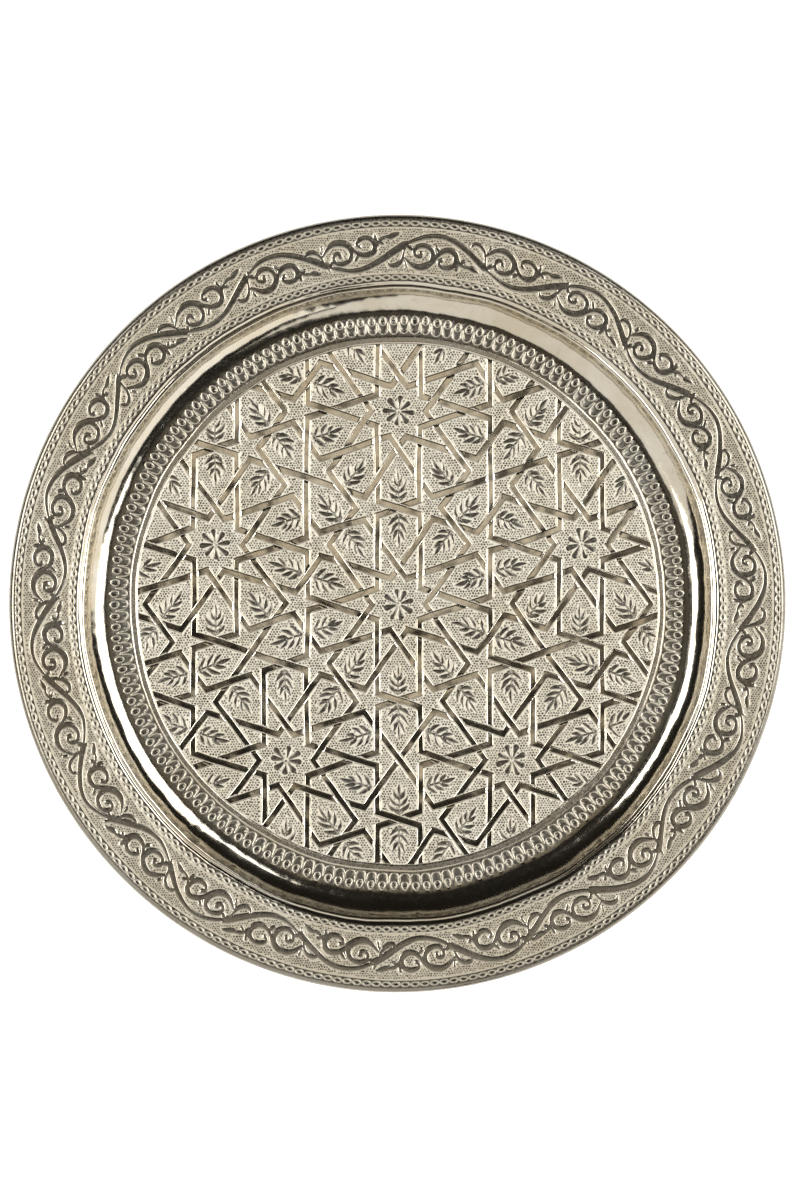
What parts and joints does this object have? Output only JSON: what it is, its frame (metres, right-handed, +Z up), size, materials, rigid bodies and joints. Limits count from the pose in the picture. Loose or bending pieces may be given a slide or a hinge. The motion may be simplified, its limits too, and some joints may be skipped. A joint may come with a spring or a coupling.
{
  "type": "offering plate",
  "caption": "Round shallow metal dish with a coved wall, a wide decorated rim and a wired rolled edge, for collecting or carrying offerings.",
  "frame": {"origin": "middle of the flat underside that the plate rests on", "axes": "+Z up out of the dish, square to the flat floor; +Y towards the top of the decoration"},
  "size_m": [0.36, 0.36, 0.0135],
  "materials": {
    "plated_sheet": "silver-plated sheet, polished bands on a punched matt ground, warm tarnish in the recesses",
    "wire": "plain drawn steel wire"
  },
  "bodies": {
    "root": {"plate_body": "plated_sheet", "rim_wire": "wire"}
  },
  "joints": []
}
